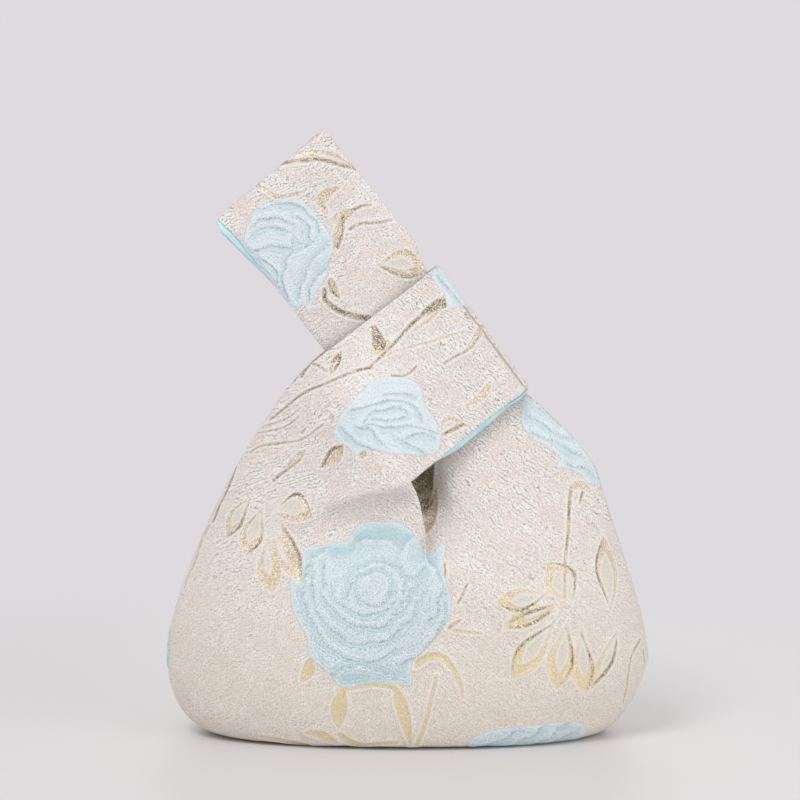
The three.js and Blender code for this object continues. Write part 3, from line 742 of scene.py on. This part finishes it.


# Brocade: cream crepe ground in crinkled rows with broken dark furrows, their shade painted in, roses in pale
# aqua floats with whiter petal lips, leaves in flat gold yarn with glints painted into its colour, and dark
# specks where the yarn under it shows through, which in the deep fold beside the notch also paint its shade.
# The yarns are finer than shows at this distance, so their grain is drawn at 0.45 mm, and their ribs at 2 mm.
GRAIN, GLINT, FLECK, DOT, RIB = 0.45 * MM, 0.6 * MM, 0.8 * MM, 0.7 * MM, 2.0 * MM
ROW, CRINKLE, PATCH, DRIFT = 2.0 * MM, 6 * MM, 9 * MM, 38 * MM
ROW_TURNS = (-24, 38)  # degrees that the rows lie aslant, on the left and on the right
WAVE = 0.314  # length of one wave of the wave texture at a scale of 1
soft = {"interpolation_type": "SMOOTHSTEP"}
paint = {"data_type": "RGBA"}
brocade = bpy.data.materials.new("brocade")
brocade.use_nodes = True
tree = brocade.node_tree
tree.nodes.clear()
FIELDS = ("rose", "petal", "shade", "leaf", "gold", "dark", "seam", "crepe_and_low_shade", "flow")
woven = {field: node("Attribute", out="Fac", attribute_name=field) for field in FIELDS}
rose, petal, shade, leaf, gold, dark, seam, crepe_and_low_shade, flow = woven.values()
spot = node("TexCoord", out="Object")
grain = node("TexNoise", spot, 1 / GRAIN, 0)
patch = node("TexNoise", spot, 1 / PATCH, 2)
drift = node("TexNoise", spot, 1 / DRIFT, 1)
ragged = node("MapRange", grain, 0.2, 0.8, -0.6, 0.6)

# Ground: the rows lie aslant, one way on the left and the other on the right, with furrows between them
# painted darker as their shade.
# Low on the bag, where it is filled out, they are pulled flat; there the ground is painted darker and greyer,
# as shade, and its grain warmer.
ridges = []
for degrees in ROW_TURNS:
    laid = node("Mapping", spot, (0, 0, 0), (0, math.radians(degrees), 0), vector_type="TEXTURE")
    ridges.append(node("TexWave", laid, WAVE / ROW, 10, 1, ROW / WAVE / CRINKLE, bands_direction="Z"))
ridges = node("Mix", flow, *ridges, data_type="FLOAT")
fleck = node("TexNoise", spot, 1 / FLECK, 0)
# Painted shade: the furrows between the rows are darkened in colour.
hollow = node("MapRange", ridges, 0, 0.26, 1, 0, **soft)
hollow = node("Math", hollow, node("MapRange", fleck, 0.42, 0.56, **soft), operation="MULTIPLY")
hollow = node("Math", hollow, node("MapRange", patch, 0.4, 0.58, 0.25, 1, **soft), operation="MULTIPLY")
hollow = node("Math", hollow, node("MapRange", crepe_and_low_shade, 0.3, 1, 0.4, 1), operation="MULTIPLY")
tuft = node("MapRange", patch, 0.3, 0.7, **soft)
blush = node("Mix", node("MapRange", drift, 0.4, 0.6, **soft), colour("#F2E5DE"), colour("#F0E8E5"), **paint)
upper = node("Mix", tuft, blush, colour("#F9F6F4"), **paint)
# Painted shade: the ground low on the bag is darker than above.
lower = node("Mix", tuft, colour("#EBE4E0"), colour("#F3EDE9"), **paint)
ground = node("Mix", node("MapRange", crepe_and_low_shade, 0.3, 1), lower, upper, **paint)
grit = node("Mix", node("MapRange", crepe_and_low_shade, 0.3, 0.9), colour("#CCBDA3"), colour("#C2B8B1"), **paint)
ground = node("Mix", node("MapRange", grain, 0.45, 0.62, 0, 0.9, **soft), ground, grit, **paint)
# The furrows' painted shade.
ground = node("Mix", node("Math", hollow, 0.8, operation="MULTIPLY"), ground, colour("#7A6E62"), **paint)
ground = node("Mix", node("MapRange", leaf, -0.6, 0.2, 0.55, 0, **soft), ground, colour("#DBD3C6"), **paint)
beside = node("Math", node("Math", gold, ragged, operation="ADD"), 1.1, 0.6, operation="COMPARE")
ground = node("Mix", node("MapRange", beside, 0, 1, 0, 0.4), ground, colour("#F3F2F4"), **paint)
ground = node("Mix", node("MapRange", seam, 0.2, 0.8, 0.7, 0, **soft), ground, colour("#A98F78"), **paint)

# Roses: each petal is deeper aqua beside the line under it and white along its own lip, dotted between them.
ribs = node("Math", node("Math", petal, 2 * math.pi * MM / RIB, operation="MULTIPLY"), operation="COSINE")
# The floats too are painted darker low on the bag, as shade.
float_tone = node("Mix", node("MapRange", crepe_and_low_shade, 0.5, 0.95), colour("#A1BCC4"), colour("#BCD1D8"), **paint)
aqua = node("Mix", node("MapRange", grain, 0.4, 0.6, **soft), float_tone, colour("#EAF1F3"), **paint)
aqua = node("Mix", node("MapRange", ribs, -1, 1, 0, 0.32), aqua, colour("#E6EEF1"), **paint)
# Deeper aqua beside the petals' lines, and in a rose's deep places, where it is partly painted shade.
aqua = node("Mix", node("MapRange", shade, 0, DEEP_SHADE, 0, 0.62), aqua, colour("#A2C3CC"), **paint)
aqua = node("Mix", node("MapRange", shade, 0, -1, 0, 0.34), aqua, colour("#EAEEF2"), **paint)
dots = node("Math", petal, node("MapRange", grain, 0.3, 0.7, -0.5, 0.5), operation="ADD")
aqua = node("Mix", node("MapRange", dots, 0.05, 0.5, 0.62, 0, **soft), aqua, colour("#7F959C"), **paint)
in_rose = node("MapRange", node("Math", rose, ragged, operation="ADD"), -0.3, 0.3, 1, 0, **soft)

# Gold: flat yarn in light and dark glints painted into its colour, deeper low on the bag, with olive specks
# along the shaded edges.
glint = node("TexNoise", spot, 1 / GLINT, 0)
# Painted glints: light and dark spots in the gold's colour.
yarn = node("Mix", node("MapRange", glint, 0.38, 0.62, **soft), colour("#BCA888"), colour("#F6ECDC"), **paint)
yarn = node("Mix", node("MapRange", crepe_and_low_shade, 0.3, 0.9, 0.6, 0), yarn, colour("#EBDAAE"), **paint)
dot = node("MapRange", node("TexVoronoi", spot, 1 / DOT), 0.3, 0.74, 1, 0, **soft)
# These dark specks also paint the shade of the deep fold beside the notch, under its wide dark thread.
speck = node("Math", node("MapRange", dark, -0.5, 0.7, 1, 0, **soft), dot, operation="MULTIPLY")
speck = node("Math", speck, node("MapRange", patch, 0.32, 0.55, 0.4, 1, **soft), operation="MULTIPLY")
yarn = node("Mix", speck, yarn, colour("#3C392C"), **paint)
in_gold = node("MapRange", node("Math", gold, ragged, operation="ADD"), -0.2, 0.5, 1, 0, **soft)
bare_gold = node("Math", in_gold, node("Math", 1, in_rose, operation="SUBTRACT"), operation="MULTIPLY")

cloth_colour = node("Mix", in_rose, node("Mix", in_gold, ground, yarn, **paint), aqua, **paint)
folds = node("Math", node("Math", ridges, crepe_and_low_shade, operation="MULTIPLY"), 0.5, operation="MULTIPLY")
height = node("Math", grain, 0.5, folds, operation="MULTIPLY_ADD")
rose_ribs = node("Math", in_rose, ribs, operation="MULTIPLY")
height = node("Math", rose_ribs, 0.3, height, operation="MULTIPLY_ADD")
gold_glints = node("Math", bare_gold, glint, operation="MULTIPLY")
height = node("Math", gold_glints, 0.6, height, operation="MULTIPLY_ADD")
shader = node(
    "BsdfPrincipled",
    named={
        "Base Color": cloth_colour,
        "Metallic": node("MapRange", bare_gold, 0, 1, 0, 0.3),
        "Roughness": node("MapRange", bare_gold, 0, 1, 0.82, 0.4),
        "Normal": node("Bump", named={"Height": height, "Strength": 0.5, "Distance": 0.5 * MM}),
        "Sheen Weight": 0.12,
        "Sheen Roughness": 0.5,
        "Sheen Tint": colour("#F4EEE8"),
        "Specular IOR Level": 0.3,
    },
)
node("OutputMaterial", shader)

# Where each drawing lies: the parts of the panel that it is woven into, its x and z, its turn and its size.
LEFT, RIGHT, BODY = (LEFT_BODY,), (RIGHT_BODY,), (LEFT_BODY, RIGHT_BODY)
LOOP, STRAP = (SHORT_HANDLE,), (LONG_HANDLE,)
FRONT_DRAWING = [
    (FULL_ROSE, BODY, -20.2, 84.4),
    (FOOT_LEAVES, BODY, -15.9, 28.7),
    (SIDE_ROSE, STRAP, -66.4, 274.3),
    (HANDLE_SPRAY, STRAP, -35.4, 286.4),
    (LOW_ROSE, LEFT + LOOP, -11.9, 182.3),
    (LOOP_SPRAY, LEFT + LOOP, -4.2, 223.5),
    (SHOULDER_SPRAY, LEFT + LOOP, -59.4, 168.4),
    (HANGING_SPRAY, LEFT, -77.3, 128.7),
    (FAN_SPRAY, RIGHT, 84.6, 76.8),
    (EDGE_ROSE, RIGHT + STRAP, 85.5, 166.2),
    (FOOT_ROSE, RIGHT, 67.5, 6.7),
    (TURNED_ROSE, LOOP, 23.4, 248.2),
    (SIDE_ROSE, LEFT, -136, 51, 10, 0.4),
    # The deep fold: a gold leaf and painted shade.
    (FOLD_LEAF_AND_PAINTED_SHADE, RIGHT, 14, 130),
]
BACK_DRAWING = [
    (FULL_ROSE, BODY, 34, 96, 24),
    (FOOT_LEAVES, BODY, 40, 34, 20),
    (SIDE_ROSE, STRAP, -52, 262, 150),
    (HANDLE_SPRAY, STRAP, -46, 292, 185, 0.9),
    (LOW_ROSE, LEFT + LOOP, -34, 178, 190),
    (LOOP_SPRAY, LEFT + LOOP, -2, 216, 12, 0.9),
    (SHOULDER_SPRAY, LEFT + LOOP, -62, 150, -14),
    (HANGING_SPRAY, RIGHT, 100, 122, 8),
    (FAN_SPRAY, LEFT, -66, 84, -28),
    (EDGE_ROSE, RIGHT + STRAP, 78, 160, 70),
    (FOOT_ROSE, LEFT, -62, 8),
    (SIDE_ROSE, LEFT, -118, 46, 30, 0.7),
]

# Relief of the cloth: how high each form stands, and over what length.
SWELL, SWELL_SIZE, PUCKER, PUCKER_SIZE = 0.8, 26, 0.3, 11
WORM, WORM_SIZE, WORM_STRETCH, WORM_LEVEL = 0.45, 4.5, (0.5, 1, 1.2), 0.3  # the crepe's crinkles
ROSE_LIFT, ROSE_RIM, PETAL_STEP = 0.4, (-0.5, 2), 0.24
LEAF_LIP, LIP_OUT, LIP_WIDTH, LEAF_SINK = 0.45, 1.1, 0.9, 0.25  # the ground puffs up around the sunken gold
LOOP_SEAM, SEAM_SINK, SEAM_WIDTH = 2.6, 0.5, 0.7  # the seam across the loop, this far from its end
SIDE_SINK, SIDE_WIDTH, SIDE_REACH = 0.7, 1.6, 6  # the seams draw edges in that lie this near to them
RELIEF_EASE, PUCKER_EASE = 3, 14  # how far from an edge the relief and the puckers have their full height
# The crepe's height ramp also darkens the ground and the roses' floats low on the bag as painted shade.
CREPE_LOW, CREPE_HEIGHTS = 0.3, (30, 160)  # the crepe is pulled flatter low on the bag, between these heights
FLOW_TURN, STRAP_FLOW = (-45, 5), 0.8  # where the rows change their slant, and how far they do on the strap
HEM = ((0.35, 0.5), (0.2, 1.1), (-4, 1.35))  # steps of the edge turned under, past it and below the face
HEM_NEAR = 8  # this near an edge the cloth stays in front of the seam
# Places pinched in under the knot: x, z, width, height and depth.
PINCHES = [(-31, 113, 4, 6, 1.8), (9, 112, 4, 7, 1.8), (-19, 123, 9, 3.5, 1.6), (-74, 118, 16, 7, 1.2)]


def cut_piece(bm, name, cloth):
    """Makes a finished piece of a sheet of cloth."""
    for f in bm.faces:
        f.smooth = True
    mesh = bpy.data.meshes.new(name)
    bm.to_mesh(mesh)
    bm.free()
    mesh.materials.append(cloth)
    piece = bpy.data.objects.new(name, mesh)
    scene.collection.objects.link(piece)
    return piece


def panel(name, drawing, pinches, facing, seed):
    """One brocade panel with its drawing woven in, its edges turned under; facing is -1 front, 1 back."""
    bm = lay_cloth(1, FRONT_POCKET if facing < 0 else BACK_POCKET)
    layers = {field: bm.verts.layers.float.new(field) for field in FIELDS}
    verts = bm.verts[:]
    label = bm.verts.layers.int["part"]
    cloth = {
        "place": np.array([v.co[:] for v in verts]) / MM,
        "normal": np.array([v.normal[:] for v in verts]),
        "part": np.array([v[label] for v in verts]),
        "shade": np.zeros(len(verts)),
    }
    for field in ("rose", "petal", "leaf", "gold", "dark"):
        cloth[field] = np.full(len(verts), NO_YARN)
    for work in drawing:
        weave(cloth, *work)
    p, part = cloth["place"], cloth["part"]
    off_seam = np.abs((p - np.asarray(KNOT)) @ short_along - (SHORT_REACH - LOOP_SEAM))
    cloth["seam"] = np.where((part == SHORT_HANDLE) & (facing < 0), off_seam, NO_YARN)
    # The same height ramp sets the painted shade that darkens the cloth low on the bag.
    cloth["crepe_and_low_shade"] = mix(CREPE_LOW, 1, ease(p[:, 2], *CREPE_HEIGHTS))
    cloth["flow"] = ease(p[:, 0], *FLOW_TURN) * np.where(part == LONG_HANDLE, STRAP_FLOW, 1)

    inset = off_points(verts, [v.co for v in verts if v.is_boundary])
    flower = ease(-cloth["rose"], *ROSE_RIM)
    pucker = wander(p, SWELL_SIZE, seed) * SWELL + wander(p, PUCKER_SIZE, seed + 9) * PUCKER
    worm = np.abs(wander(p * WORM_STRETCH, WORM_SIZE, seed + 20))
    lip = np.exp(-(((cloth["gold"] - LIP_OUT) / LIP_WIDTH) ** 2))
    lift = WORM * (worm - WORM_LEVEL) * cloth["crepe_and_low_shade"] * (1 - flower)
    lift += flower * (ROSE_LIFT - PETAL_STEP * np.clip(cloth["shade"], -1, 1))
    lift += (LEAF_LIP * lip - LEAF_SINK * ease(-cloth["gold"], 0, 1)) * (1 - flower)
    lift -= SEAM_SINK * np.exp(-((cloth["seam"] / SEAM_WIDTH) ** 2))
    lift = lift * ease(inset, 0, RELIEF_EASE) + pucker * ease(inset, 0, PUCKER_EASE)
    for x, z, wide, high, deep in pinches:
        lift -= deep * np.exp(-(((p[:, 0] - x) / wide) ** 2) - ((p[:, 2] - z) / high) ** 2)
    on_seam = np.abs(p[:, 1] - SEAM_Y) < SIDE_REACH
    lift -= SIDE_SINK * np.exp(-((inset / SIDE_WIDTH) ** 2)) * on_seam
    moved = p + cloth["normal"] * lift[:, None]
    for i, v in enumerate(verts):
        v.co = moved[i] * MM
        if inset[i] < HEM_NEAR:
            v.co.y = min(v.co.y, SEAM_Y * MM)
        v.co.z = max(v.co.z, 0)
        for field, layer in layers.items():
            v[layer] = cloth[field][i]
    turn_edge(bm, [e for e in bm.edges if e.is_boundary], HEM)
    if facing > 0:
        bmesh.ops.scale(bm, vec=(1, -1, 1), verts=bm.verts[:])
        bmesh.ops.reverse_faces(bm, faces=bm.faces[:])
    piece = cut_piece(bm, name, brocade)
    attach(piece, "root")
    return piece


front = panel("front_brocade", FRONT_DRAWING, PINCHES, -1, 3)
back = panel("back_brocade", BACK_DRAWING, PINCHES[1:], 1, 41)
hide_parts("front_panel")
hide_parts("back_panel")

# Lining: two panels of aqua satin cut like the brocade and sewn to its edges, lying just inside it.
# At the neckline the satin rolls past the edge of both handles as a soft narrow piping.
LINING_FINE = 0.45  # steps to a millimetre
EDGE_INSET, LOOSE_INSET, INSET_EASE = 2.0, 3.4, (4, 22)  # how deep it lies at an edge and away from it
LINING_FLOOR = 0.6  # how far it stays above the table
FOLD_SLIT, SLIT_FOOT = 9, 0.55  # it is open this far around the deep fold, from this share of the wall up
PIPING = 3.2  # how far past the edge it rolls
ROLL = ((PIPING * 0.75, -0.3), (PIPING, 0.5), (PIPING * 0.8, 1.2), (0.3, 1.3))
LOOP_GROWS, LOOP_FADES, LOOP_THIN = (-34, -12), (5, 36), 0.35  # places from the knot along the short handle
STRAP_GROWS, STRAP_THIN, STRAP_FULL = (80, 128), 0.02, 1.35  # places from the knot along the long handle
STRAP_FADES, STRAP_END = (LONG_REACH - 7, LONG_REACH - 3), 0.4
LOOP_RIM, STRAP_RIM, RIM_STOP = 4, 6, 3  # how near its line a rim is looked for, and how far short of the top

# Satin: smooth aqua with a soft shine painted into its colour, which wavers where the cloth falls in folds.
# The floats are finer than shows at this distance, so they are drawn at 1 mm.
FALL, FLOAT = 17 * MM, 1 * MM
satin = bpy.data.materials.new("lining_satin")
satin.use_nodes = True
tree = satin.node_tree
tree.nodes.clear()
spot = node("TexCoord", out="Object")
fall = node("TexNoise", spot, 1 / FALL, 3)
floats = node("TexNoise", spot, 1 / FLOAT, 1)
# Painted shine: the lighter aqua of the satin.
sheen = node("Mix", node("MapRange", fall, 0.3, 0.7, **soft), colour("#B2E3EE"), colour("#CDEEF5"), **paint)
relief = node("Math", fall, 7, floats, operation="MULTIPLY_ADD")
shader = node(
    "BsdfPrincipled",
    named={
        "Base Color": sheen,
        "Roughness": node("MapRange", floats, 0, 1, 0.36, 0.5),
        "Normal": node("Bump", named={"Height": relief, "Strength": 0.35, "Distance": 0.2 * MM}),
        "Sheen Weight": 0.15,
        "Specular IOR Level": 0.5,
    },
)
node("OutputMaterial", shader)


def loop_roll(place):
    """How full the piping is at a place on the short handle."""
    way = (np.asarray(place) - KNOT) @ short_along
    return float(ease(way, *LOOP_GROWS) * mix(1, LOOP_THIN, ease(way, *LOOP_FADES)))


def strap_roll(place):
    """How full the piping is at a place on the long handle."""
    way = (np.asarray(place) - KNOT) @ long_along
    grown = mix(STRAP_THIN, STRAP_FULL, ease(way, *STRAP_GROWS))
    return float(grown * mix(1, STRAP_END, ease(way, *STRAP_FADES)))


def lining(name, facing):
    """One satin panel with its piping; facing is -1 front, 1 back."""
    bm = lay_cloth(LINING_FINE, FRONT_POCKET if facing < 0 else BACK_POCKET)
    label = bm.verts.layers.int["part"]
    verts = bm.verts[:]
    for v in verts:
        v.normal_update()
    off_edge = off_points(verts, [v.co for v in verts if v.is_boundary])
    off_fold = off_points(verts, middle_line(np.linspace(SLIT_FOOT, 1, 40)) * MM)
    inset = mix(EDGE_INSET, LOOSE_INSET, ease(off_edge, *INSET_EASE))
    inside = [v.co - v.normal * float(deep) * MM for v, deep in zip(verts, inset)]
    for v, place in zip(verts, inside):
        v.co = place
        if v.is_boundary:
            v.co.y = min(v.co.y, 2 * SEAM_Y * MM)
        v.co.z = max(v.co.z, LINING_FLOOR * MM)
    slit = [v for v, off in zip(verts, off_fold) if off < FOLD_SLIT]
    bmesh.ops.delete(bm, geom=slit, context="VERTS")

    across_short = np.array((-short_along[2], 0, short_along[0]))
    across_long = np.array((-long_along[2], 0, long_along[0]))
    loop_rim, strap_rim = [], []
    for e in bm.edges:
        if not e.is_boundary:
            continue
        p = np.array((e.verts[0].co + e.verts[1].co) / 2) / MM - KNOT
        labels = {v[label] for v in e.verts}
        on_strap = p @ across_long > LONG_WIDTH / 2 - STRAP_RIM and p @ long_along < LONG_REACH - RIM_STOP
        if SHORT_HANDLE in labels and p @ across_short < -SHORT_WIDTH / 2 + LOOP_RIM:
            loop_rim.append(e)
        elif LONG_HANDLE in labels and on_strap:
            strap_rim.append(e)
    turn_edge(bm, loop_rim, ROLL, loop_roll)
    turn_edge(bm, strap_rim, ROLL, strap_roll)
    if facing > 0:
        bmesh.ops.scale(bm, vec=(1, -1, 1), verts=bm.verts[:])
    else:
        bmesh.ops.reverse_faces(bm, faces=bm.faces[:])
    piece = cut_piece(bm, name, satin)
    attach(piece, "root")
    return piece


front_satin = lining("front_satin", -1)
back_satin = lining("back_satin", 1)
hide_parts("front_lining")
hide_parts("back_lining")

# Stage: a pale lacquered table that runs up into a pale wall with no line between.
# The lacquer is matt near the bag, where it takes its shadow, and away from it turns into the wall's tone.
TABLE, WALL_TONE = "#DCDADA", "#DEDADE"
TABLE_HALF, TABLE_DROP = 6, 0.0004  # in metres, as the camera and the lamps are
WALL_FROM, WALL_FULL = 0.18, 0.6  # how far from the bag the table turns into the wall
ROOM_LIGHT = 0.64
bm = bmesh.new()
bmesh.ops.create_grid(bm, x_segments=1, y_segments=1, size=TABLE_HALF)
mesh = bpy.data.meshes.new("table")
bm.to_mesh(mesh)
bm.free()
table = bpy.data.objects.new("table", mesh)
table.location.z = -TABLE_DROP
scene.collection.objects.link(table)
lacquer = bpy.data.materials.new("table_lacquer")
lacquer.use_nodes = True
tree = lacquer.node_tree
tree.nodes.clear()


def looked_at():
    """1 where the backdrop is seen straight, in a shine or through something, 0 where it only gives light."""
    seen = node("LightPath", out="Is Camera Ray")
    for ray in ("Is Glossy Ray", "Is Transmission Ray"):
        seen = node("Math", seen, node("LightPath", out=ray), operation="MAXIMUM")
    return seen


away = node("VectorMath", node("TexCoord", out="Object"), out="Value", operation="LENGTH")
matt = node("BsdfPrincipled", named={"Base Color": colour(TABLE), "Roughness": 0.6})
glow = node("Emission", colour(WALL_TONE), 1)
far = node("MapRange", away, WALL_FROM, WALL_FULL, **soft)
far = node("Math", far, looked_at(), operation="MULTIPLY")
node("OutputMaterial", node("MixShader", far, matt, glow))
mesh.materials.append(lacquer)

room = bpy.data.worlds.new("room")
scene.world = room
room.use_nodes = True
tree = room.node_tree
tree.nodes.clear()
light = node("Background", colour("#FFFFFF"), ROOM_LIGHT)
wall = node("Background", colour(WALL_TONE), 1)
node("OutputWorld", node("MixShader", looked_at(), light, wall))

# Lamps: a soft window from above the front left, a fill from the right and a weak light from behind.
# Each is its name, place, power in watts and width.
LAMPS = (
    ("window", (-0.7, -1.0, 1.65), 13.2, 0.8),
    ("fill", (1.3, -1.1, 0.3), 10.5, 1.4),
    ("back", (0.2, 2.2, 0.6), 7, 1.2),
)
LAMP_AIM = Vector((0, 0, 0.15))
for name, place, power, size in LAMPS:
    lamp = bpy.data.lights.new(name, "AREA")
    lamp.energy = power
    lamp.size = size
    stand = bpy.data.objects.new(name, lamp)
    stand.location = place
    stand.rotation_euler = (LAMP_AIM - stand.location).to_track_quat("-Z", "Y").to_euler()
    scene.collection.objects.link(stand)

# Camera: a long lens a little above the middle of the bag, square on to its front.
AIM, RISE = Vector((-0.0045, 0, 0.1882)), math.radians(5.5)
DISTANCE, VIEW_WIDTH, SENSOR_MM = 1.6, 0.448, 36
lens = bpy.data.cameras.new("lens")
lens.lens = SENSOR_MM * DISTANCE / VIEW_WIDTH
camera = bpy.data.objects.new("camera", lens)
camera.location = AIM + DISTANCE * Vector((0, -math.cos(RISE), math.sin(RISE)))
camera.rotation_euler = (math.pi / 2 - RISE, 0, 0)
scene.collection.objects.link(camera)
scene.camera = camera
